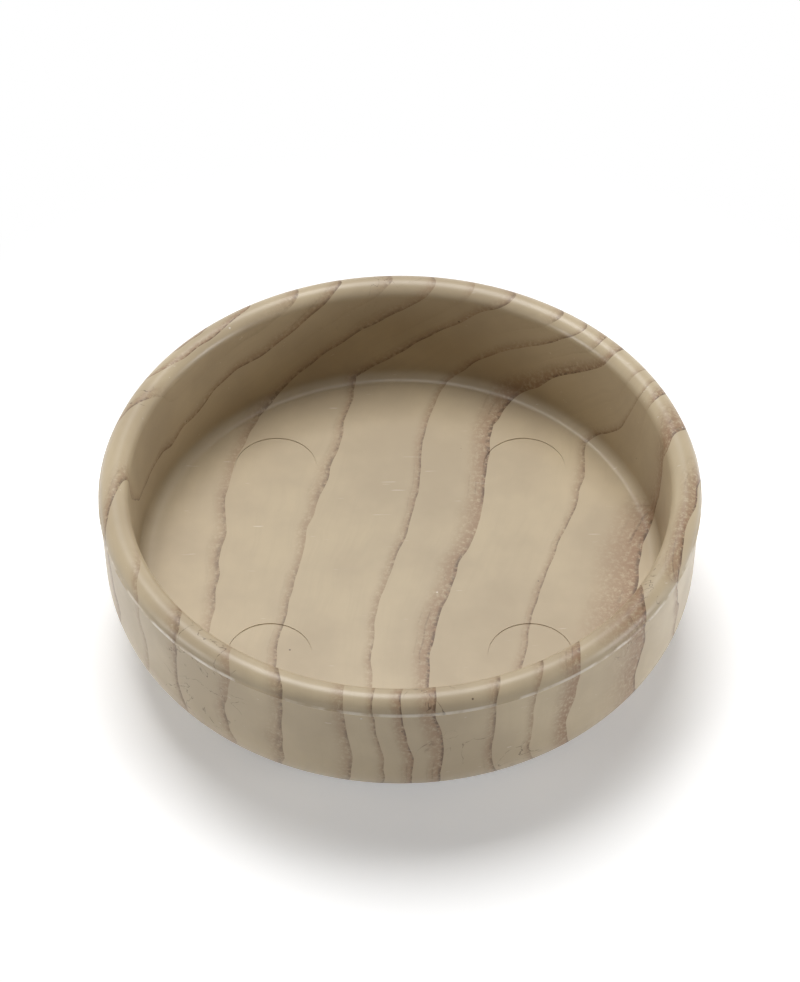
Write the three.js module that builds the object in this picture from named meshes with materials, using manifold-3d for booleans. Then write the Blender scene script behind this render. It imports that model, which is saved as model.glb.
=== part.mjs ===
// Felt caster cup: a round moulded cup that a furniture leg or caster stands in,
// with a felt disc bonded under it so that it neither slides nor marks the floor.
// Millimetres, +Z up. The origin is the centre of the felt's lower face.

import * as THREE from "three";
import { mergeVertices } from "three/addons/utils/BufferGeometryUtils.js";
import Module from "manifold-3d";

// Cup body: radii and wall
const outerRadius = 35; // widest place, the moulding line under the lip
const lipThickness = 3.4; // the lip is a full round of this thickness
const outerDraft = 1; // degrees, the outside narrows downwards
const innerDraft = 2; // degrees, the well narrows downwards
const wellFillet = 1.5; // where the well's wall meets its floor
const flankRadius = 8; // the big round from the wall to the underside

// Cup body: heights
const wellDepth = 14.5; // top of the lip to the well's floor
const floorThickness = 3.2; // well's floor to the seat of the felt

// Foot bead: the raised ring that frames the felt
const footInset = 6.5; // moulding line to the bead's outer side, measured along the radius
const beadWidth = 1.1;
const beadDrop = 1.6; // how far it stands below the underside
const beadRound = 0.4; // round on both of its lower edges

// Ejector marks: shallow round witnesses that the mould's pins leave in the well's floor
const markCount = 4;
const markRadius = 5;
const markDepth = 0.1;
const markInset = 10.1; // mouth of the well to the marks' centres, along the radius
const markTurn = 45; // degrees, direction of the first mark

// Felt disc and the adhesive film that bonds it
const feltThickness = 5;
const feltProud = 2.4; // how far the felt stands below the bead
const feltGap = 0.4; // felt to the bead's inner side
const feltEdgeRound = 0.6;
const filmThickness = 0.2;
const filmInset = 0.6; // the film stops this far inside the felt's edge

// Facets
const turnSteps = 96;
const flankSteps = 8;
const lipSteps = 12;
const smallArcSteps = 3;
const markSteps = 24;

// Derived heights
const seatHeight = feltThickness + filmThickness;
const floorHeight = seatHeight + floorThickness;
const lipTop = floorHeight + wellDepth;
const lipRound = lipThickness / 2;
const mouldingLine = lipTop - lipRound;
const beadBottom = feltProud;
const underside = beadBottom + beadDrop;

// Derived radii
const mouthRadius = outerRadius - lipThickness;
const beadOuter = outerRadius - footInset;
const beadInner = beadOuter - beadWidth;
const feltRadius = beadInner - feltGap;
const filmRadius = feltRadius - filmInset;
const markCircle = mouthRadius - markInset;

const wasm = await Module();
wasm.setup();

const radians = THREE.MathUtils.degToRad;

function point(radius, height) {
  return new THREE.Vector2(radius, height);
}

// Points of a round stretch of a profile, both ends included; angles in degrees from +radius.
function arc(centre, radius, from, to, steps) {
  return Array.from({ length: steps + 1 }, (_, step) => {
    const angle = radians(from + ((to - from) * step) / steps);
    return point(centre.x + radius * Math.cos(angle), centre.y + radius * Math.sin(angle));
  });
}

// A profile of radius and height, turned about the Z axis.
function turned(profile) {
  return new THREE.LatheGeometry(profile, turnSteps).rotateX(Math.PI / 2);
}

function disc(radius, low, high, steps) {
  const middle = (low + high) / 2;
  return new THREE.CylinderGeometry(radius, radius, high - low, steps)
    .rotateX(Math.PI / 2)
    .translate(0, 0, middle);
}

// A solid for cutting: shared vertices merged, flat slivers on the axis dropped.
function toSolid(geometry) {
  const bare = geometry.clone();
  bare.deleteAttribute("normal");
  bare.deleteAttribute("uv");
  const merged = mergeVertices(bare);
  const corners = merged.index.array;
  const kept = [];
  for (let i = 0; i < corners.length; i += 3) {
    const [a, b, c] = [corners[i], corners[i + 1], corners[i + 2]];
    if (a !== b && b !== c && c !== a) kept.push(a, b, c);
  }
  return new wasm.Manifold(
    new wasm.Mesh({
      numProp: 3,
      vertProperties: Float32Array.from(merged.attributes.position.array),
      triVerts: Uint32Array.from(kept),
    }),
  );
}

function toGeometry(solid) {
  const mesh = solid.getMesh();
  const geometry = new THREE.BufferGeometry();
  geometry.setAttribute("position", new THREE.BufferAttribute(mesh.vertProperties, 3));
  geometry.setIndex(new THREE.BufferAttribute(mesh.triVerts, 1));
  geometry.computeVertexNormals();
  return geometry;
}

// Under side of the body: the felt's flat seat, then the bead that frames it.
function footProfile(beadRoot) {
  const innerRound = point(beadInner + beadRound, beadBottom + beadRound);
  const outerRound = point(beadOuter - beadRound, beadBottom + beadRound);
  return [
    point(0, seatHeight),
    point(beadInner, seatHeight),
    ...arc(innerRound, beadRound, 180, 270, smallArcSteps),
    ...arc(outerRound, beadRound, 270, 360, smallArcSteps),
    point(beadOuter, beadRoot),
  ];
}

// Inside of the body: drafted wall, fillet and flat floor.
function wellProfile() {
  const filletHeight = floorHeight + wellFillet;
  const wallThere = mouthRadius - (mouldingLine - filletHeight) * Math.tan(radians(innerDraft));
  const filletCentre = point(wallThere - wellFillet / Math.cos(radians(innerDraft)), filletHeight);
  return [...arc(filletCentre, wellFillet, -innerDraft, -90, smallArcSteps + 1), point(0, floorHeight)];
}

function bodyProfile() {
  const flankHeight = underside + flankRadius;
  const wallThere = outerRadius - (mouldingLine - flankHeight) * Math.tan(radians(outerDraft));
  const flankCentre = point(wallThere - flankRadius / Math.cos(radians(outerDraft)), flankHeight);

  // The flank starts at the bead, or at the end of a flat underside if the bead stands further in.
  const reach = Math.max(beadOuter - flankCentre.x, 0);
  const flankStart = -THREE.MathUtils.radToDeg(Math.acos(reach / flankRadius));
  const flank = arc(flankCentre, flankRadius, flankStart, -outerDraft, flankSteps);
  const beadRoot = flank[0].y;
  const flankPoints = reach > 0 ? flank.slice(1) : flank;

  const lipCentre = point(outerRadius - lipRound, mouldingLine);
  return [
    ...footProfile(beadRoot),
    ...flankPoints,
    ...arc(lipCentre, lipRound, 0, 180, lipSteps),
    ...wellProfile(),
  ];
}

function cupBody() {
  let body = toSolid(turned(bodyProfile()));
  for (let i = 0; i < markCount; i += 1) {
    const angle = radians(markTurn + (360 * i) / markCount);
    const pin = disc(markRadius, floorHeight - markDepth, floorHeight + markDepth, markSteps);
    pin.translate(markCircle * Math.cos(angle), markCircle * Math.sin(angle), 0);
    body = body.subtract(toSolid(pin));
  }
  return toGeometry(body);
}

function feltPad() {
  const edgeCentre = point(feltRadius - feltEdgeRound, feltEdgeRound);
  return turned([
    point(0, 0),
    ...arc(edgeCentre, feltEdgeRound, -90, 0, smallArcSteps),
    point(feltRadius, feltThickness),
    point(0, feltThickness),
  ]);
}

function named(name, geometry, look) {
  const mesh = new THREE.Mesh(geometry, new THREE.MeshStandardMaterial(look));
  mesh.name = name;
  return mesh;
}

const cup = new THREE.Group();
cup.add(
  named("cup_body", cupBody(), { color: 0xbda98a, roughness: 0.45, metalness: 0 }),
  named("adhesive_film", disc(filmRadius, feltThickness, seatHeight, turnSteps), {
    color: 0xd9d3bf,
    roughness: 0.35,
    metalness: 0,
  }),
  named("felt_pad", feltPad(), { color: 0x6b6b6b, roughness: 1, metalness: 0 }),
);

export default cup;
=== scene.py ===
"""Felt caster cup: a moulded wood-look cup for a furniture leg, with a felt disc under it.

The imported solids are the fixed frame. This script turns the cup body and the felt again in fine
detail, gives the hidden adhesive film its finish, and sets a plain pale stage with soft light.
"""

import math
import random

import bmesh
import bpy
from bpy.props import FloatProperty, FloatVectorProperty, IntProperty, PointerProperty
from mathutils import Euler, Matrix, Vector, noise


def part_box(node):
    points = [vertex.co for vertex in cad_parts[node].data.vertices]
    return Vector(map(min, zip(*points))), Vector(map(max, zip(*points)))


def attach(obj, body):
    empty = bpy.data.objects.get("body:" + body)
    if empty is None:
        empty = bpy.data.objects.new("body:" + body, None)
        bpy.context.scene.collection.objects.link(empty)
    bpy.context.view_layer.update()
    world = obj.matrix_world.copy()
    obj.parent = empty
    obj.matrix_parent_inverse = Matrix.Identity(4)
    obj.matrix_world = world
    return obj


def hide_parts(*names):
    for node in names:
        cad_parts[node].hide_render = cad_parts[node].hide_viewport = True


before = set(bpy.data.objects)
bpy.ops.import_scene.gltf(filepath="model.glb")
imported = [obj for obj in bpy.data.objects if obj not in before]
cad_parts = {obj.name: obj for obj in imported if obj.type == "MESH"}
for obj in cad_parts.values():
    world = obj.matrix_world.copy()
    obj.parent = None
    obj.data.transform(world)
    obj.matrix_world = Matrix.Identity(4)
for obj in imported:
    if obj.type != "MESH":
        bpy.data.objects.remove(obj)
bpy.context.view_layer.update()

bl_info = {
    "name": "Felt Caster Cup",
    "version": (1, 0, 0),
    "blender": (4, 5, 0),
    "location": "3D View > Sidebar > Caster Cup",
    "description": "A moulded wood-look caster cup with a felt disc, ready to render",
    "category": "Object",
}

MM = 0.001
BODY = "root"
IMAGE_WIDTH = 800
IMAGE_HEIGHT = 982
SENSOR = 36.0

CUP_LOW, CUP_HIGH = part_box("cup_body")
FELT_LOW, FELT_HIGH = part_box("felt_pad")
FILM_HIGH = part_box("adhesive_film")[1]

# Soft lights: name, place, size and watts.
LIGHTS = (
    ("top_light", (-0.06, 0.24, 0.72), 0.45, 5.7),
    ("left_light", (-0.50, -0.16, 0.075), 0.13, 0.75),
    ("right_light", (0.50, -0.12, 0.075), 0.13, 1.0),
)


def srgb(red, green, blue):
    """A colour as it is written for a screen, 0 to 255, turned into the linear one of a shader."""

    def linear(level):
        share = level / 255
        if share <= 0.04045:
            return share / 12.92
        return ((share + 0.055) / 1.055) ** 2.4

    return (linear(red), linear(green), linear(blue))


def length(name, description, default):
    """A length property in metres."""
    return FloatProperty(
        name=name,
        description=description,
        default=default,
        min=0.0,
        precision=5,
        subtype="DISTANCE",
        unit="LENGTH",
    )


def angle(name, description, degrees):
    """An angle property, its default written in degrees."""
    return FloatProperty(
        name=name,
        description=description,
        default=math.radians(degrees),
        subtype="ANGLE",
        unit="ROTATION",
    )


def colour(name, description, default):
    """A colour property in linear values."""
    return FloatVectorProperty(
        name=name,
        description=description,
        default=default,
        size=3,
        min=0.0,
        max=1.0,
        subtype="COLOR",
    )


def share(name, description, default):
    """A property from 0 to 1."""
    return FloatProperty(
        name=name, description=description, default=default, min=0.0, max=1.0, subtype="FACTOR"
    )


class CupSizes(bpy.types.PropertyGroup):
    """Sizes of the moulded cup."""

    outer_radius: length("Outer radius", "Widest place, at the moulding line", CUP_HIGH[0])
    lip_top: length("Lip height", "Top of the lip above the floor", CUP_HIGH[2])
    lip_thickness: length("Lip thickness", "The lip is a full round of this thickness", 3.4 * MM)
    outer_draft: angle("Outer draft", "How much the outside narrows downwards", 1.0)
    inner_draft: angle("Inner draft", "How much the well narrows downwards", 2.0)
    well_depth: length("Well depth", "Top of the lip to the floor of the well", 14.5 * MM)
    well_fillet: length("Well fillet", "Round between the well's wall and floor", 1.5 * MM)
    flank_radius: length("Flank radius", "Big round from the wall to the underside", 8.0 * MM)
    foot_inset: length("Foot inset", "Moulding line to the bead, along the radius", 6.5 * MM)
    bead_width: length("Bead width", "Width of the ring that frames the felt", 1.1 * MM)
    bead_drop: length("Bead drop", "How far the bead stands below the underside", 1.6 * MM)
    bead_round: length("Bead round", "Round on the bead's lower edges", 0.4 * MM)
    seat_height: length("Felt seat", "Height of the flat seat that the film bonds to", FILM_HIGH[2])
    ridge_height: length("Ridge height", "How far the moulding line stands proud", 0.14 * MM)
    ridge_width: length("Ridge width", "Width of the moulding line", 0.42 * MM)
    mark_radius: length("Ejector mark radius", "Radius of the pins' marks in the well", 5.0 * MM)
    mark_depth: length("Ejector mark depth", "Depth of the pins' marks", 0.1 * MM)
    mark_circle: length("Ejector mark circle", "Axis to the centres of the marks", 21.5 * MM)
    mark_turn: angle("Ejector mark turn", "Direction of the first mark", 45.0)
    mark_count: IntProperty(name="Ejector marks", description="How many marks", default=4, min=1)


class CupColours(bpy.types.PropertyGroup):
    """Colours of the moulded wood look."""

    base: colour("Base", "Plain moulded plastic", srgb(194, 177, 147))
    shade: colour("Shade", "Greyer clouds in the plastic", srgb(178, 161, 134))
    halo: colour("Halo", "Soft reddish stain beside a grain line", srgb(142, 110, 84))
    line: colour("Line", "Core of a grain line", srgb(72, 52, 37))
    # This pale colour also paints the highlight along the moulding line.
    dust_and_highlight: colour("Speck", "Pale dust and scuffs", srgb(238, 231, 219))


class FeltSettings(bpy.types.PropertyGroup):
    """Sizes and colours of the felt disc."""

    radius: length("Radius", "Radius of the felt", FELT_HIGH[0])
    thickness: length("Thickness", "Thickness of the felt", FELT_HIGH[2])
    core_inset: length("Core inset", "Felted core below the loose fibres", 0.25 * MM)
    edge_round: length("Edge round", "Round on the lower edge", 0.6 * MM)
    fibre_radius: length("Fibre radius", "Half the thickness of a loose fibre", 0.05 * MM)
    face_fibres: IntProperty(name="Face fibres", description="Fibres on the lower face", default=5000)
    edge_fibres: IntProperty(name="Edge fibres", description="Fibres round the edge", default=2600)
    stray_fibres: IntProperty(name="Stray fibres", description="Long loose fibres", default=16)
    dark: colour("Dark", "Darkest fibres", srgb(34, 34, 36))
    middle: colour("Grey", "Middle tone of the fibres", srgb(112, 112, 114))
    light: colour("Light", "Lightest fibres", srgb(226, 226, 226))


class StageSettings(bpy.types.PropertyGroup):
    """Camera, floor and light."""

    pitch: angle("Camera pitch", "How far the camera looks down", 46.5)
    distance: length("Camera distance", "Camera to the middle of the mouth", 0.402)
    place_right: FloatProperty(
        name="Place right", description="Pixels of the cup right of the middle", default=0.0
    )
    place_down: FloatProperty(
        name="Place down", description="Pixels of the cup below the middle", default=-6.0
    )
    cup_pixels: FloatProperty(
        name="Cup size", description="Pixels of the cup's outer radius", default=300.0
    )
    floor: colour("Floor", "Pale floor", srgb(249, 249, 249))
    floor_glow: share("Floor lift", "Light added to the floor for the camera", 0.3)
    fade_start: length("Floor fade start", "Where the floor begins to run into white", 0.036)
    fade_end: length("Floor fade end", "Where the floor has run into white", 0.085)
    ambient: share("Ambient", "Light from all round", 0.03)


class CasterCupSettings(bpy.types.PropertyGroup):
    """Everything that a user would change."""

    cup: PointerProperty(type=CupSizes)
    colours: PointerProperty(type=CupColours)
    felt: PointerProperty(type=FeltSettings)
    stage: PointerProperty(type=StageSettings)


# Meshes


class ProfilePen:
    """Draws a profile of radius and height as a chain of edges in the XZ plane."""

    def __init__(self, mesh, radius, height):
        self.mesh = mesh
        self.tip = mesh.verts.new((radius, 0.0, height))

    def line_to(self, radius, height, steps=1):
        """A straight stretch, in equal steps."""
        start = self.tip.co.copy()
        end = Vector((radius, 0.0, height))
        for step in range(steps):
            made = bmesh.ops.extrude_vert_indiv(self.mesh, verts=[self.tip])
            self.tip = made["verts"][0]
            self.tip.co = start.lerp(end, (step + 1) / steps)

    def arc(self, centre_radius, centre_height, turn, steps):
        """A round stretch about a centre; a positive turn goes from the radius towards up."""
        made = bmesh.ops.spin(
            self.mesh,
            geom=[self.tip],
            cent=(centre_radius, 0.0, centre_height),
            axis=(0.0, -1.0, 0.0),
            angle=turn,
            steps=steps,
            use_duplicate=False,
        )
        ends = [item for item in made["geom_last"] if isinstance(item, bmesh.types.BMVert)]
        self.tip = ends[0]


def turn_profile(mesh, steps):
    """Turns the profile about the Z axis into a closed skin."""
    bmesh.ops.spin(
        mesh,
        geom=mesh.verts[:] + mesh.edges[:],
        cent=(0.0, 0.0, 0.0),
        axis=(0.0, 0.0, 1.0),
        angle=math.tau,
        steps=steps,
        use_merge=True,
        use_duplicate=False,
    )
    bmesh.ops.remove_doubles(mesh, verts=mesh.verts, dist=1e-6)
    bmesh.ops.dissolve_degenerate(mesh, dist=1e-7, edges=mesh.edges)
    bmesh.ops.recalc_face_normals(mesh, faces=mesh.faces)


def new_object(name, mesh, material):
    """Makes an object at the origin from a bmesh, which is freed."""
    data = bpy.data.meshes.new(name)
    mesh.to_mesh(data)
    mesh.free()
    data.materials.append(material)
    made = bpy.data.objects.new(name, data)
    bpy.context.scene.collection.objects.link(made)
    return made


def shade_smooth(data, sharp_degrees):
    """Smooth faces with crisp edges past an angle."""
    for face in data.polygons:
        face.use_smooth = True
    data.set_sharp_from_angle(angle=math.radians(sharp_degrees))


# Node helpers


def put(tree, kind, **settings):
    """A new node with its settings."""
    node = tree.nodes.new(kind)
    for key, value in settings.items():
        setattr(node, key, value)
    return node


def feed(tree, value, socket):
    """Links an output to a socket, or sets a plain value on it."""
    if isinstance(value, bpy.types.NodeSocket):
        tree.links.new(value, socket)
    else:
        socket.default_value = value


def maths(tree, operation, first, second=None, third=None, clamp=False):
    """A Math node's result."""
    node = put(tree, "ShaderNodeMath", operation=operation, use_clamp=clamp)
    feed(tree, first, node.inputs[0])
    if second is not None:
        feed(tree, second, node.inputs[1])
    if third is not None:
        feed(tree, third, node.inputs[2])
    return node.outputs[0]


def vectors(tree, operation, first, second=None, scale=None):
    """A Vector Math node's result."""
    node = put(tree, "ShaderNodeVectorMath", operation=operation)
    feed(tree, first, node.inputs[0])
    if second is not None:
        feed(tree, second, node.inputs[1])
    if scale is not None:
        feed(tree, scale, node.inputs["Scale"])
    name = "Value" if operation == "LENGTH" else "Vector"
    return node.outputs[name]


def rise(tree, value, low, high):
    """0 below low and 1 above high, with a smooth step between; low may be the greater one."""
    node = put(tree, "ShaderNodeMapRange", interpolation_type="SMOOTHSTEP", clamp=True)
    feed(tree, value, node.inputs["Value"])
    feed(tree, low, node.inputs["From Min"])
    feed(tree, high, node.inputs["From Max"])
    return node.outputs["Result"]


def grain(tree, place, scale, detail=2.0, rough=0.5, twist=0.0):
    """A noise texture's node."""
    node = put(tree, "ShaderNodeTexNoise")
    feed(tree, place, node.inputs["Vector"])
    feed(tree, scale, node.inputs["Scale"])
    node.inputs["Detail"].default_value = detail
    node.inputs["Roughness"].default_value = rough
    node.inputs["Distortion"].default_value = twist
    return node


def blend(tree, amount, first, second):
    """A mix of two colours."""
    node = put(tree, "ShaderNodeMix", data_type="RGBA", blend_type="MIX")
    feed(tree, amount, node.inputs["Factor"])
    for value, name in ((first, "A"), (second, "B")):
        socket = next(s for s in node.inputs if s.name == name and s.type == "RGBA")
        feed(tree, value if isinstance(value, bpy.types.NodeSocket) else (*value, 1.0), socket)
    return next(s for s in node.outputs if s.type == "RGBA")


def millimetres(tree):
    """Object coordinates in millimetres."""
    place = put(tree, "ShaderNodeTexCoord").outputs["Object"]
    return vectors(tree, "SCALE", place, scale=1.0 / MM)


def new_group(name, inputs, outputs):
    """An empty shader node group with named sockets, and its two ends."""
    tree = bpy.data.node_groups.new(name, "ShaderNodeTree")
    for label, kind, default in inputs:
        socket = tree.interface.new_socket(label, in_out="INPUT", socket_type=kind)
        if default is not None:
            socket.default_value = default
    for label in outputs:
        tree.interface.new_socket(label, in_out="OUTPUT", socket_type="NodeSocketFloat")
    return tree, put(tree, "NodeGroupInput").outputs, put(tree, "NodeGroupOutput").inputs


def use_group(tree, group, **values):
    """Places a node group; values are given by the sockets' names, with _ for a space."""
    node = put(tree, "ShaderNodeGroup", node_tree=group)
    for label, value in values.items():
        feed(tree, value, node.inputs[label.replace("_", " ")])
    return node.outputs


def new_material(name):
    """A material with a Principled shader and nothing else."""
    material = bpy.data.materials.new(name)
    material.use_nodes = True
    tree = material.node_tree
    shader = next(n for n in tree.nodes if n.type == "BSDF_PRINCIPLED")
    return material, tree, shader


def add_bump(tree, shader, height, strength, distance):
    """Bump from a height, into the shader's normal."""
    node = put(tree, "ShaderNodeBump")
    node.inputs["Strength"].default_value = strength
    node.inputs["Distance"].default_value = distance
    feed(tree, height, node.inputs["Height"])
    feed(tree, node.outputs["Normal"], shader.inputs["Normal"])


# Shared effects


def clouds_group():
    """Soft clouds and a fine grain, used on every material."""
    vector = ("Vector", "NodeSocketVector", None)
    size = ("Cloud Size", "NodeSocketFloat", 12.0)
    fine = ("Fine Size", "NodeSocketFloat", 0.6)
    tree, given, result = new_group("Clouds", (vector, size, fine), ("Cloud", "Fine"))
    wide = maths(tree, "DIVIDE", 1.0, given["Cloud Size"])
    small = maths(tree, "DIVIDE", 1.0, given["Fine Size"])
    cloud = grain(tree, given["Vector"], wide, detail=4.0, rough=0.55).outputs["Fac"]
    close = grain(tree, given["Vector"], small, detail=2.0).outputs["Fac"]
    feed(tree, rise(tree, cloud, 0.32, 0.68), result["Cloud"])
    feed(tree, close, result["Fine"])
    return tree


def specks_group():
    """Rare tiny dots: dark pits and pale dust, by the cells that a random number picks."""
    vector = ("Vector", "NodeSocketVector", None)
    cell = ("Cell Size", "NodeSocketFloat", 4.0)
    dot = ("Dot Size", "NodeSocketFloat", 0.16)
    tree, given, result = new_group("Specks", (vector, cell, dot), ("Pits", "Dust"))
    scale = maths(tree, "DIVIDE", 1.0, given["Cell Size"])
    cells = put(tree, "ShaderNodeTexVoronoi")
    feed(tree, given["Vector"], cells.inputs["Vector"])
    feed(tree, scale, cells.inputs["Scale"])
    reach = maths(tree, "MULTIPLY", cells.outputs["Distance"], given["Cell Size"])
    inside = maths(tree, "SUBTRACT", given["Dot Size"], reach)
    spot = rise(tree, inside, -0.02, 0.08)
    pick = put(tree, "ShaderNodeSeparateColor")
    feed(tree, cells.outputs["Color"], pick.inputs["Color"])
    pits = maths(tree, "GREATER_THAN", pick.outputs["Red"], 0.72)
    dust = maths(tree, "GREATER_THAN", pick.outputs["Green"], 0.72)
    feed(tree, maths(tree, "MULTIPLY", spot, pits), result["Pits"])
    feed(tree, maths(tree, "MULTIPLY", spot, dust), result["Dust"])
    return tree


def grain_flow_group(cup):
    """Grain lines of the moulded plastic: bent sheets that run from front to back through the cup.

    Each line has a dark broken core with a sharp edge on one side, and a reddish stain that fades
    away on the other side.
    """
    floor_height = (cup.lip_top - cup.well_depth) / MM
    mouth = (cup.outer_radius - cup.lip_thickness) / MM
    vector = ("Vector", "NodeSocketVector", None)
    facing = ("Normal", "NodeSocketVector", None)
    space = ("Spacing", "NodeSocketFloat", 10.5)
    inputs = (vector, facing, space)
    tree, given, result = new_group("Grain Flow", inputs, ("Core", "Stain", "Streak", "Curl"))
    place = given["Vector"]

    # The sheets are bent by a slow drift and a quicker waver.
    middle = (0.5, 0.5, 0.5)
    slow = vectors(tree, "SUBTRACT", grain(tree, place, 0.03, detail=1.0).outputs["Color"], middle)
    quick = vectors(tree, "SUBTRACT", grain(tree, place, 0.16, detail=1.0).outputs["Color"], middle)
    bent = vectors(tree, "ADD", place, vectors(tree, "SCALE", slow, scale=13.0))
    bent = vectors(tree, "ADD", bent, vectors(tree, "SCALE", quick, scale=1.8))
    axes = put(tree, "ShaderNodeSeparateXYZ")
    feed(tree, bent, axes.inputs[0])
    across, back, up = axes.outputs

    # Towards the back the lines swing to one side, and more so up the wall.
    far = rise(tree, back, -14.0, 36.0)
    swing = maths(tree, "MULTIPLY", maths(tree, "POWER", far, 1.6), 11.0)
    above = maths(tree, "MAXIMUM", maths(tree, "SUBTRACT", up, floor_height), 0.0)
    leaning = maths(tree, "MULTIPLY", rise(tree, back, 4.0, 30.0), 1.25)
    lean = maths(tree, "MULTIPLY", above, leaning)
    shifted = maths(tree, "SUBTRACT", maths(tree, "SUBTRACT", across, swing), lean)
    count = maths(tree, "DIVIDE", shifted, given["Spacing"])
    uneven = put(tree, "ShaderNodeTexNoise", noise_dimensions="1D")
    uneven.inputs["Scale"].default_value = 0.8
    uneven.inputs["Detail"].default_value = 0.0
    feed(tree, count, uneven.inputs["W"])
    count = maths(tree, "ADD", count, maths(tree, "MULTIPLY", uneven.outputs["Fac"], 0.7))

    # How fast the sheets are crossed along the surface, so that lines keep their width where
    # the surface nearly follows a sheet.
    crossing = put(tree, "ShaderNodeCombineXYZ")
    crossing.inputs["X"].default_value = 1.0
    crossing.inputs["Y"].default_value = -0.22
    feed(tree, maths(tree, "MULTIPLY", leaning, -1.0), crossing.inputs["Z"])
    through = put(tree, "ShaderNodeVectorMath", operation="DOT_PRODUCT")
    feed(tree, crossing.outputs[0], through.inputs[0])
    feed(tree, given["Normal"], through.inputs[1])
    inward = vectors(tree, "SCALE", given["Normal"], scale=through.outputs["Value"])
    rate = vectors(tree, "LENGTH", vectors(tree, "SUBTRACT", crossing.outputs[0], inward))
    pitch = maths(tree, "DIVIDE", given["Spacing"], maths(tree, "MAXIMUM", rate, 0.2))

    # Breaks along the lines.
    crumbs = grain(tree, place, 1.7, detail=3.0, rough=0.6).outputs["Fac"]
    flecks = rise(tree, crumbs, 0.36, 0.58)
    jitter = maths(tree, "MULTIPLY", maths(tree, "SUBTRACT", crumbs, 0.5), 0.55)
    gaps = rise(tree, grain(tree, place, 0.09, detail=1.0).outputs["Fac"], 0.34, 0.52)
    broken = maths(tree, "MULTIPLY", flecks, gaps)

    rippled = rise(tree, grain(tree, place, 0.11, detail=1.0, twist=0.4).outputs["Fac"], 0.5, 0.62)

    def line(offset):
        """Core and stain of one set of lines, each with its own strength."""
        turned = maths(tree, "ADD", count, offset)
        step = maths(tree, "FRACT", turned)
        own = put(tree, "ShaderNodeTexWhiteNoise", noise_dimensions="1D")
        feed(tree, maths(tree, "FLOOR", turned), own.inputs["W"])
        short = maths(tree, "MULTIPLY", maths(tree, "SUBTRACT", 1.0, step), pitch)
        rough = maths(tree, "ADD", short, jitter)
        wide = maths(tree, "MULTIPLY_ADD", own.outputs["Value"], 3.4, 1.6)
        fade = maths(tree, "POWER", rise(tree, short, wide, 0.0), 1.2)
        edge = rise(tree, rough, 0.62, 0.12)
        waves = maths(tree, "SINE", maths(tree, "MULTIPLY", short, 6.5))
        echo = maths(tree, "MULTIPLY", rise(tree, waves, 0.55, 1.0), maths(tree, "MULTIPLY", fade, 0.6))
        edge = maths(tree, "MAXIMUM", edge, maths(tree, "MULTIPLY", echo, rippled))
        strength = maths(tree, "MULTIPLY_ADD", own.outputs["Value"], 0.45, 0.55)
        return maths(tree, "MULTIPLY", edge, strength), maths(tree, "MULTIPLY", fade, strength)

    core, stain = line(0.0)
    thin_core, thin_stain = line(0.47)

    # Lines between the main ones show only on the lip and outside.
    flat = vectors(tree, "MULTIPLY", place, (1.0, 1.0, 0.0))
    radius = vectors(tree, "LENGTH", flat)
    outside = rise(tree, radius, mouth - 0.5, mouth + 1.5)
    height = put(tree, "ShaderNodeSeparateXYZ")
    feed(tree, place, height.inputs[0])
    below = rise(tree, height.outputs["Z"], floor_height - 0.3, floor_height - 2.5)
    shown = maths(tree, "MAXIMUM", outside, below)
    core = maths(tree, "MAXIMUM", core, maths(tree, "MULTIPLY", thin_core, shown))
    stain = maths(tree, "MAXIMUM", stain, maths(tree, "MULTIPLY", thin_stain, shown))
    mottled = rise(tree, grain(tree, place, 2.2, detail=4.0, rough=0.7).outputs["Fac"], 0.25, 0.58)
    feed(tree, maths(tree, "MULTIPLY", core, broken), result["Core"])
    feed(tree, maths(tree, "MULTIPLY", stain, mottled), result["Stain"])

    # Fine streaks that follow the sheets.
    along = put(tree, "ShaderNodeCombineXYZ")
    feed(tree, shifted, along.inputs["X"])
    feed(tree, maths(tree, "MULTIPLY", back, 0.07), along.inputs["Y"])
    feed(tree, maths(tree, "MULTIPLY", up, 0.07), along.inputs["Z"])
    fine = grain(tree, along.outputs[0], 1.1, detail=4.0, rough=0.65).outputs["Fac"]
    feed(tree, rise(tree, fine, 0.42, 0.75), result["Streak"])

    # Short curls where the colours folded in the mould.
    field = grain(tree, place, 0.15, detail=3.0, rough=0.55, twist=1.4).outputs["Fac"]
    away = maths(tree, "ABSOLUTE", maths(tree, "SUBTRACT", field, 0.5))
    thread = rise(tree, away, 0.009, 0.003)
    patch = rise(tree, grain(tree, place, 0.065, detail=1.0).outputs["Fac"], 0.58, 0.64)
    patch = maths(tree, "MULTIPLY", patch, shown)
    curl = maths(tree, "MULTIPLY", maths(tree, "MULTIPLY", thread, patch), flecks)
    feed(tree, curl, result["Curl"])
    return tree


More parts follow.
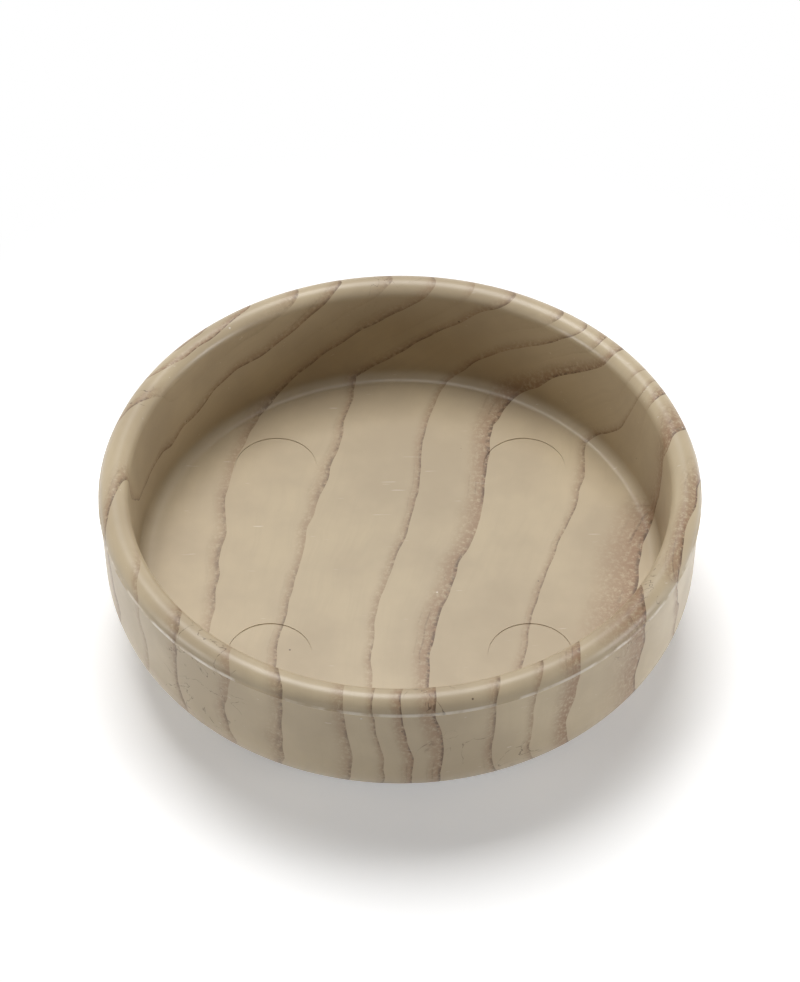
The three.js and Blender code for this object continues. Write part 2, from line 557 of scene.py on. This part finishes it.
def wood_look_material(settings, clouds, specks):
    """Satin moulded plastic with wood grain, pits and dust, and on the moulding line a pale band that is
    partly wear and partly a painted highlight.
    """
    cup = settings.cup
    tones = settings.colours
    material, tree, shader = new_material("moulded_wood_look")
    place = millimetres(tree)
    cloud = use_group(tree, clouds, Vector=place, Cloud_Size=14.0, Fine_Size=0.45)
    facing = put(tree, "ShaderNodeNewGeometry").outputs["Normal"]
    flow = use_group(tree, grain_flow_group(cup), Vector=place, Normal=facing, Spacing=10.5)
    dots = use_group(tree, specks, Vector=place, Cell_Size=4.2, Dot_Size=0.15)

    tone = blend(tree, cloud["Cloud"], tones.base, tones.shade)
    tone = blend(tree, maths(tree, "MULTIPLY", flow["Streak"], 0.28), tone, tones.shade)
    tone = blend(tree, maths(tree, "MULTIPLY", flow["Stain"], 0.95), tone, tones.halo)
    dark = maths(tree, "MAXIMUM", flow["Core"], maths(tree, "MULTIPLY", flow["Curl"], 0.8))
    dark = maths(tree, "MAXIMUM", dark, dots["Pits"])
    tone = blend(tree, maths(tree, "MULTIPLY", dark, 0.85), tone, tones.line)

    # Pale band along the moulding line, partly wear and partly a painted highlight where the ridge
    # catches light; scuffs and dust elsewhere.
    axes = put(tree, "ShaderNodeSeparateXYZ")
    feed(tree, place, axes.inputs[0])
    radius = vectors(tree, "LENGTH", vectors(tree, "MULTIPLY", place, (1.0, 1.0, 0.0)))
    ridge_height = (cup.lip_top - cup.lip_thickness / 2) / MM
    off_ridge = maths(tree, "ABSOLUTE", maths(tree, "SUBTRACT", axes.outputs["Z"], ridge_height))
    ridge_highlight_and_wear = rise(tree, off_ridge, 0.30, 0.12)
    outside = cup.outer_radius / MM
    ridge_highlight_and_wear = maths(tree, "MULTIPLY", ridge_highlight_and_wear, rise(tree, radius, outside - 0.8, outside - 0.2))
    highlight_and_wear_patches = rise(tree, grain(tree, place, 0.35, detail=3.0).outputs["Fac"], 0.40, 0.62)
    ridge_highlight_and_wear = maths(tree, "MULTIPLY", ridge_highlight_and_wear, maths(tree, "MULTIPLY", highlight_and_wear_patches, 0.85))
    stretch = put(tree, "ShaderNodeMapping")
    stretch.inputs["Rotation"].default_value = (0.3, 0.5, 0.7)
    stretch.inputs["Scale"].default_value = (0.25, 2.6, 2.6)
    feed(tree, place, stretch.inputs["Vector"])
    scratch = grain(tree, stretch.outputs[0], 0.8, detail=2.0, rough=0.6).outputs["Fac"]
    scuff = rise(tree, scratch, 0.71, 0.78)
    pale = maths(tree, "MAXIMUM", maths(tree, "MULTIPLY", scuff, 0.5), dots["Dust"])
    # The moulding line's pale band is partly a painted highlight.
    pale = maths(tree, "MAXIMUM", pale, ridge_highlight_and_wear)
    tone = blend(tree, maths(tree, "MULTIPLY", pale, 0.7), tone, tones.dust_and_highlight)
    feed(tree, tone, shader.inputs["Base Color"])

    sheen = maths(tree, "MULTIPLY_ADD", cloud["Cloud"], 0.08, 0.30)
    sheen = maths(tree, "ADD", sheen, maths(tree, "MULTIPLY", scuff, 0.18))
    sheen = maths(tree, "ADD", sheen, maths(tree, "MULTIPLY", flow["Stain"], 0.08))
    feed(tree, sheen, shader.inputs["Roughness"])
    relief = maths(tree, "MULTIPLY", cloud["Fine"], 0.25)
    relief = maths(tree, "SUBTRACT", relief, maths(tree, "MULTIPLY", dark, 0.5))
    add_bump(tree, shader, relief, 0.25, 0.05 * MM)
    shader.inputs["IOR"].default_value = 1.49
    shader.inputs["Specular IOR Level"].default_value = 0.38
    return material


def felt_material(settings, clouds):
    """Grey felt: every loose fibre carries its own tone, the core is mottled."""
    felt = settings.felt
    material, tree, shader = new_material("grey_felt")
    place = millimetres(tree)
    own = put(tree, "ShaderNodeAttribute", attribute_name="fibre_tone").outputs["Fac"]
    cloud = use_group(tree, clouds, Vector=place, Cloud_Size=5.0, Fine_Size=0.32)
    matted = rise(tree, cloud["Fine"], 0.34, 0.66)
    stirred = maths(tree, "MULTIPLY_ADD", cloud["Cloud"], 0.34, -0.2)
    level = maths(tree, "ADD", own, stirred)
    level = maths(tree, "ADD", level, maths(tree, "MULTIPLY_ADD", matted, 0.30, -0.15))
    lower = maths(tree, "MULTIPLY", level, 2.0, clamp=True)
    upper = maths(tree, "MULTIPLY_ADD", level, 2.0, -1.0, clamp=True)
    tone = blend(tree, lower, felt.dark, felt.middle)
    tone = blend(tree, upper, tone, felt.light)
    feed(tree, tone, shader.inputs["Base Color"])
    rough = maths(tree, "MULTIPLY_ADD", matted, 0.12, 0.84)
    feed(tree, rough, shader.inputs["Roughness"])
    add_bump(tree, shader, cloud["Fine"], 0.8, 0.2 * MM)
    shader.inputs["Sheen Weight"].default_value = 0.25
    shader.inputs["Specular IOR Level"].default_value = 0.2
    return material


def film_material(clouds, specks):
    """Pale adhesive film, uneven and a little glossy."""
    material, tree, shader = new_material("adhesive")
    place = millimetres(tree)
    cloud = use_group(tree, clouds, Vector=place, Cloud_Size=6.0, Fine_Size=0.8)
    dots = use_group(tree, specks, Vector=place, Cell_Size=3.0, Dot_Size=0.25)
    tone = blend(tree, cloud["Cloud"], srgb(222, 214, 190), srgb(196, 184, 152))
    tone = blend(tree, maths(tree, "MULTIPLY", dots["Dust"], 0.6), tone, srgb(240, 236, 224))
    feed(tree, tone, shader.inputs["Base Color"])
    gloss = maths(tree, "MULTIPLY_ADD", cloud["Cloud"], 0.2, 0.25)
    feed(tree, gloss, shader.inputs["Roughness"])
    add_bump(tree, shader, cloud["Fine"], 0.4, 0.05 * MM)
    return material


def shared_groups():
    """The effects that several materials use, made once."""
    made = bpy.data.node_groups
    clouds = made.get("Clouds") or clouds_group()
    specks = made.get("Specks") or specks_group()
    return clouds, specks


# Pieces


def draw_cup_profile(pen, cup):
    """The cup's section from the felt seat round the outside and lip to the floor of the well."""
    floor_height = cup.lip_top - cup.well_depth
    lip_round = cup.lip_thickness / 2
    moulding_line = cup.lip_top - lip_round
    bead_outer = cup.outer_radius - cup.foot_inset
    bead_inner = bead_outer - cup.bead_width
    flank_slope = math.tan(cup.outer_draft)
    well_slope = math.tan(cup.inner_draft)
    quarter = math.pi / 2
    support = 0.6 * MM

    # Bead; the flank's arc begins at its outer side.
    bead_bottom = CUP_LOW[2]
    underside = bead_bottom + cup.bead_drop
    flank_height = underside + cup.flank_radius
    wall_there = cup.outer_radius - (moulding_line - flank_height) * flank_slope
    flank_centre = wall_there - cup.flank_radius / math.cos(cup.outer_draft)
    flank_start = -math.acos((bead_outer - flank_centre) / cup.flank_radius)
    bead_root = flank_height + cup.flank_radius * math.sin(flank_start)
    pen.line_to(bead_inner - support, cup.seat_height)
    pen.line_to(bead_inner, cup.seat_height)
    pen.line_to(bead_inner, bead_bottom + cup.bead_round)
    pen.arc(bead_inner + cup.bead_round, bead_bottom + cup.bead_round, quarter, 6)
    pen.line_to(bead_outer - cup.bead_round, bead_bottom)
    pen.arc(bead_outer - cup.bead_round, bead_bottom + cup.bead_round, quarter, 6)
    pen.line_to(bead_outer, bead_root)

    # Flank, wall and the fine ridge of the moulding line.
    pen.arc(flank_centre, flank_height, -cup.outer_draft - flank_start, 28)
    half_ridge = cup.ridge_width / 2
    ridge_foot = cup.outer_radius - half_ridge * flank_slope
    pen.line_to(ridge_foot, moulding_line - half_ridge, steps=6)
    pen.line_to(cup.outer_radius + cup.ridge_height * 0.8, moulding_line - half_ridge * 0.45)
    pen.line_to(cup.outer_radius + cup.ridge_height, moulding_line - half_ridge * 0.1)
    pen.line_to(cup.outer_radius + cup.ridge_height * 0.6, moulding_line + half_ridge * 0.35)

    # Lip, from just above the ridge to the inside.
    lip_centre = cup.outer_radius - lip_round
    lip_start = math.asin(half_ridge / lip_round)
    pen.line_to(lip_centre + lip_round * math.cos(lip_start), moulding_line + half_ridge)
    pen.arc(lip_centre, moulding_line, math.pi - lip_start, 26)

    # Well.
    fillet_height = floor_height + cup.well_fillet
    well_wall = lip_centre - lip_round - (moulding_line - fillet_height) * well_slope
    fillet_centre = well_wall - cup.well_fillet / math.cos(cup.inner_draft)
    draft_up = fillet_height - cup.well_fillet * math.sin(cup.inner_draft)
    pen.line_to(fillet_centre + cup.well_fillet * math.cos(cup.inner_draft), draft_up, steps=5)
    pen.arc(fillet_centre, fillet_height, cup.inner_draft - quarter, 12)
    pen.line_to(fillet_centre - support, floor_height)
    pen.line_to(0.0, floor_height)


def pin_cutter(cup):
    """Short pins that press the ejector marks into the well's floor."""
    mesh = bmesh.new()
    floor_height = cup.lip_top - cup.well_depth
    for number in range(cup.mark_count):
        turn = cup.mark_turn + math.tau * number / cup.mark_count
        place = Vector((cup.mark_circle * math.cos(turn), cup.mark_circle * math.sin(turn), floor_height))
        bmesh.ops.create_cone(
            mesh,
            cap_ends=True,
            segments=96,
            radius1=cup.mark_radius,
            radius2=cup.mark_radius,
            depth=2 * cup.mark_depth,
            matrix=Matrix.Translation(place),
        )
    data = bpy.data.meshes.new("ejector_pins")
    mesh.to_mesh(data)
    mesh.free()
    pins = bpy.data.objects.new("ejector_pins", data)
    bpy.context.scene.collection.objects.link(pins)
    return pins


def cut_away(piece, cutter):
    """Cuts a shape out of a piece for good, and removes the cutter."""
    cut = piece.modifiers.new("pins", "BOOLEAN")
    cut.operation = "DIFFERENCE"
    cut.solver = "EXACT"
    cut.object = cutter
    ready = piece.evaluated_get(bpy.context.evaluated_depsgraph_get())
    data = bpy.data.meshes.new_from_object(ready)
    piece.modifiers.clear()
    piece.data = data
    old = cutter.data
    bpy.data.objects.remove(cutter)
    bpy.data.meshes.remove(old)


class CupBodyOperator(bpy.types.Operator):
    """Turns the moulded cup with its bead, flank, moulding line, lip, well and ejector marks."""

    bl_idname = "object.caster_cup_body"
    bl_label = "Cup Body"
    turn_steps = 288
    sharp_degrees = 32.0

    def execute(self, context):
        settings = context.scene.caster_cup
        cup = settings.cup
        clouds, specks = shared_groups()
        mesh = bmesh.new()
        pen = ProfilePen(mesh, 0.0, cup.seat_height)
        draw_cup_profile(pen, cup)
        turn_profile(mesh, self.turn_steps)
        body = new_object("cup_moulding", mesh, wood_look_material(settings, clouds, specks))
        cut_away(body, pin_cutter(cup))
        shade_smooth(body.data, self.sharp_degrees)
        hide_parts("cup_body")
        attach(body, BODY)
        return {"FINISHED"}


def fibre_shape(radius, curl, turn):
    """One curled fibre, lying in the XY plane and thinner towards its tip."""
    steps = 3
    mesh = bmesh.new()
    made = bmesh.ops.create_circle(mesh, cap_ends=False, segments=3, radius=radius)
    edges = {edge for vertex in made["verts"] for edge in vertex.link_edges}
    spun = bmesh.ops.spin(
        mesh,
        geom=made["verts"] + list(edges),
        cent=(curl, 0.0, 0.0),
        axis=(0.0, 1.0, 0.0),
        angle=turn,
        steps=steps,
        use_duplicate=False,
    )
    tip = [item for item in spun["geom_last"] if isinstance(item, bmesh.types.BMVert)]
    centre = sum((vertex.co for vertex in tip), Vector()) / len(tip)
    bmesh.ops.scale(mesh, vec=(0.35, 0.35, 0.35), space=Matrix.Translation(-centre), verts=tip)
    bmesh.ops.holes_fill(mesh, edges=mesh.edges, sides=3)
    bmesh.ops.recalc_face_normals(mesh, faces=mesh.faces)
    bmesh.ops.rotate(mesh, matrix=Matrix.Rotation(math.pi / 2, 3, "X"), verts=mesh.verts)
    data = bpy.data.meshes.new("fibre")
    mesh.to_mesh(data)
    mesh.free()
    return data


def felted_core(felt):
    """The matted disc below the loose fibres, slightly lumpy where it shows."""
    mesh = bmesh.new()
    radius = felt.radius - felt.core_inset
    low = FELT_LOW[2] + felt.core_inset
    pen = ProfilePen(mesh, 0.0, low)
    pen.line_to(radius - felt.edge_round, low, steps=50)
    pen.arc(radius - felt.edge_round, low + felt.edge_round, math.pi / 2, 4)
    pen.line_to(radius, felt.thickness, steps=9)
    pen.line_to(radius - felt.edge_round, felt.thickness)
    pen.line_to(0.0, felt.thickness)
    turn_profile(mesh, 220)
    mesh.normal_update()
    lump = 0.13 * MM
    for vertex in mesh.verts:
        if vertex.co.z > felt.thickness - MM:
            continue
        wave = noise.noise(vertex.co / (0.7 * MM)) + 0.6 * noise.noise(vertex.co / (2.4 * MM))
        vertex.co += vertex.normal * lump * wave
    data = bpy.data.meshes.new("felted_core")
    mesh.to_mesh(data)
    mesh.free()
    return data


def scatter_fibres(mesh, felt, tones):
    """Lays curled fibres over the lower face and round the edge of the felt."""
    chance = random.Random(27)
    long_curl = (0.9 * MM, 1.3 * MM, 0.6 * MM)
    turns = (1.4, 0.9, 1.9)
    shapes = [fibre_shape(felt.fibre_radius, curl, turn) for curl, turn in zip(long_curl, turns)]
    stray = fibre_shape(felt.fibre_radius * 0.8, 2.4 * MM, 1.5)

    def lay(shape, place, tone):
        first = len(mesh.verts)
        mesh.from_mesh(shape)
        mesh.verts.ensure_lookup_table()
        for vertex in mesh.verts[first:]:
            vertex.co = place @ vertex.co
            vertex[tones] = tone

    def tone_now():
        pick = chance.random()
        if pick < 0.42:
            return chance.uniform(0.0, 0.25)
        if pick < 0.72:
            return chance.uniform(0.35, 0.6)
        return chance.uniform(0.8, 1.05)

    # Fibres on the face end before the rounded lower edge.
    face_reach = felt.radius - 1.9 * MM
    for _ in range(felt.face_fibres):
        far = face_reach * math.sqrt(chance.random())
        turn = chance.uniform(0.0, math.tau)
        height = FELT_LOW[2] + chance.uniform(0.05, 0.26) * MM
        spot = Matrix.Translation((far * math.cos(turn), far * math.sin(turn), height))
        swing = Matrix.Rotation(chance.uniform(0.0, math.tau), 4, "Z")
        tilt = Matrix.Rotation(chance.uniform(-0.09, 0.09), 4, "X")
        lay(chance.choice(shapes), spot @ swing @ tilt, tone_now())

    # Fibres round the edge run along it, between the lower edge and the bead.
    lowest = FELT_LOW[2] + 0.75 * MM
    highest = CUP_LOW[2] - 0.25 * MM
    for number in range(felt.edge_fibres + felt.stray_fibres):
        turn = chance.uniform(0.0, math.tau)
        is_stray = number >= felt.edge_fibres
        out = felt.radius - felt.core_inset * chance.uniform(0.2, 1.0)
        height = chance.uniform(lowest, highest)
        spot = Matrix.Translation((out * math.cos(turn), out * math.sin(turn), height))
        facing = Matrix.Rotation(turn, 4, "Z") @ Matrix.Rotation(math.pi / 2, 4, "Y")
        along = chance.choice((0.0, math.pi)) + chance.uniform(-0.55, 0.55)
        swing = Matrix.Rotation(along, 4, "Z")
        tilt = Matrix.Rotation(chance.uniform(-0.16, 0.08), 4, "X")
        tone = chance.uniform(0.8, 1.0) if is_stray else tone_now()
        lay(stray if is_stray else chance.choice(shapes), spot @ facing @ swing @ tilt, tone)

    for shape in (*shapes, stray):
        bpy.data.meshes.remove(shape)


def keep_above_floor(mesh):
    """No fibre reaches below the face that the cup stands on."""
    for vertex in mesh.verts:
        vertex.co.z = max(vertex.co.z, FELT_LOW[2])


class FeltOperator(bpy.types.Operator):
    """Makes the grey felt disc: a matted core with loose curled fibres all over what shows."""

    bl_idname = "object.caster_cup_felt"
    bl_label = "Felt Disc"
    core_tone = 0.45

    def execute(self, context):
        settings = context.scene.caster_cup
        felt = settings.felt
        clouds, _ = shared_groups()
        core = felted_core(felt)
        mesh = bmesh.new()
        mesh.from_mesh(core)
        bpy.data.meshes.remove(core)
        tones = mesh.verts.layers.float.new("fibre_tone")
        for vertex in mesh.verts:
            vertex[tones] = self.core_tone
        scatter_fibres(mesh, felt, tones)
        keep_above_floor(mesh)
        disc = new_object("felt_disc", mesh, felt_material(settings, clouds))
        shade_smooth(disc.data, 60.0)
        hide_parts("felt_pad")
        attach(disc, BODY)
        return {"FINISHED"}


class FilmOperator(bpy.types.Operator):
    """Gives the adhesive film under the cup its finish; the solid itself is right as it is."""

    bl_idname = "object.caster_cup_film"
    bl_label = "Adhesive Film"

    def execute(self, context):
        clouds, specks = shared_groups()
        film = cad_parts["adhesive_film"]
        finish = film_material(clouds, specks)
        for holder in film.material_slots:
            holder.material = finish
        return {"FINISHED"}


# Stage


def seen_directly(tree):
    """1 for rays that show a surface as it is: from the camera, or by gloss or glass."""
    ray = put(tree, "ShaderNodeLightPath").outputs
    direct = maths(tree, "MAXIMUM", ray["Is Camera Ray"], ray["Is Glossy Ray"])
    return maths(tree, "MAXIMUM", direct, ray["Is Transmission Ray"])


def floor_material(stage):
    """Pale floor that keeps the shadow; the camera sees it a little lifted."""
    material, tree, shader = new_material("pale_floor")
    shader.inputs["Base Color"].default_value = (*stage.floor, 1.0)
    shader.inputs["Roughness"].default_value = 0.9
    shader.inputs["Specular IOR Level"].default_value = 0.0
    shader.inputs["Emission Color"].default_value = (1.0, 1.0, 1.0, 1.0)
    direct = seen_directly(tree)
    lift = maths(tree, "MULTIPLY", direct, stage.floor_glow)
    feed(tree, lift, shader.inputs["Emission Strength"])

    # Far from the cup the floor runs out into the white of the room.
    away = vectors(tree, "LENGTH", put(tree, "ShaderNodeTexCoord").outputs["Object"])
    far = maths(tree, "MULTIPLY", rise(tree, away, stage.fade_start, stage.fade_end), direct)
    white = put(tree, "ShaderNodeEmission")
    both = put(tree, "ShaderNodeMixShader")
    feed(tree, far, both.inputs["Fac"])
    feed(tree, shader.outputs[0], both.inputs[1])
    feed(tree, white.outputs[0], both.inputs[2])
    result = next(n for n in tree.nodes if n.type == "OUTPUT_MATERIAL")
    feed(tree, both.outputs[0], result.inputs["Surface"])
    return material


def make_world(stage):
    """White where the camera looks, plain soft light everywhere else."""
    world = bpy.data.worlds.new("pale_room")
    world.use_nodes = True
    tree = world.node_tree
    sky = next(n for n in tree.nodes if n.type == "BACKGROUND")
    sky.inputs["Color"].default_value = (1.0, 1.0, 1.0, 1.0)
    extra = maths(tree, "MULTIPLY_ADD", seen_directly(tree), 1.0 - stage.ambient, stage.ambient)
    feed(tree, extra, sky.inputs["Strength"])
    bpy.context.scene.world = world


def soft_light(name, place, target, size, watts):
    """A square soft light that faces a point."""
    data = bpy.data.lights.new(name, "AREA")
    data.shape = "SQUARE"
    data.size = size
    data.energy = watts
    lamp = bpy.data.objects.new(name, data)
    lamp.location = place
    lamp.rotation_euler = (Vector(target) - Vector(place)).to_track_quat("-Z", "Y").to_euler()
    bpy.context.scene.collection.objects.link(lamp)


def place_camera(stage, cup):
    """Puts the camera where the mouth's middle falls on its place in the picture."""
    focal_pixels = stage.cup_pixels * stage.distance / cup.outer_radius
    data = bpy.data.cameras.new("photo_camera")
    data.sensor_width = SENSOR
    data.lens = focal_pixels * SENSOR / max(IMAGE_WIDTH, IMAGE_HEIGHT)
    data.clip_start = 0.01
    turn = Euler((math.pi / 2 - stage.pitch, 0.0, 0.0))
    ray = Vector((stage.place_right, -stage.place_down, -focal_pixels)).normalized()
    ray.rotate(turn)
    mouth = Vector((0.0, 0.0, cup.lip_top - cup.lip_thickness / 2))
    camera = bpy.data.objects.new("photo_camera", data)
    camera.rotation_euler = turn
    camera.location = mouth - ray * stage.distance
    bpy.context.scene.collection.objects.link(camera)
    bpy.context.scene.camera = camera


class StageOperator(bpy.types.Operator):
    """Sets the camera, the pale floor and the soft light."""

    bl_idname = "scene.caster_cup_stage"
    bl_label = "Stage"

    def execute(self, context):
        scene = context.scene
        settings = scene.caster_cup
        stage = settings.stage
        scene.view_settings.view_transform = "Standard"
        mesh = bmesh.new()
        bmesh.ops.create_grid(mesh, x_segments=1, y_segments=1, size=3.0)
        floor = new_object("floor", mesh, floor_material(stage))
        make_world(stage)
        cup_middle = (0.0, 0.0, settings.cup.lip_top / 2)
        for name, place, size, watts in LIGHTS:
            soft_light(name, place, cup_middle, size, watts)
        place_camera(stage, settings.cup)
        return {"FINISHED"}


class CasterCupPanel(bpy.types.Panel):
    """Lists the pieces of the caster cup and their settings."""

    bl_idname = "VIEW3D_PT_caster_cup"
    bl_label = "Caster Cup"
    bl_space_type = "VIEW_3D"
    bl_region_type = "UI"
    bl_category = "Caster Cup"

    def draw(self, context):
        settings = context.scene.caster_cup
        layout = self.layout
        for operator in PIECE_OPERATORS:
            layout.operator(operator.bl_idname)
        for group in (settings.cup, settings.colours, settings.felt, settings.stage):
            box = layout.box()
            for key in group.__annotations__:
                box.prop(group, key)


PIECE_OPERATORS = (CupBodyOperator, FilmOperator, FeltOperator, StageOperator)
SETTINGS = (CupSizes, CupColours, FeltSettings, StageSettings, CasterCupSettings)


def register():
    """Registers the settings, operators and panel."""
    for item in (*SETTINGS, *PIECE_OPERATORS, CasterCupPanel):
        bpy.utils.register_class(item)
    bpy.types.Scene.caster_cup = PointerProperty(type=CasterCupSettings)


def unregister():
    """Takes everything out again."""
    del bpy.types.Scene.caster_cup
    for item in reversed((*SETTINGS, *PIECE_OPERATORS, CasterCupPanel)):
        bpy.utils.unregister_class(item)


def main():
    """Makes the pieces and the stage."""
    register()
    bpy.ops.object.caster_cup_body()
    bpy.ops.object.caster_cup_film()
    bpy.ops.object.caster_cup_felt()
    bpy.ops.scene.caster_cup_stage()


if __name__ == "__main__":
    main()
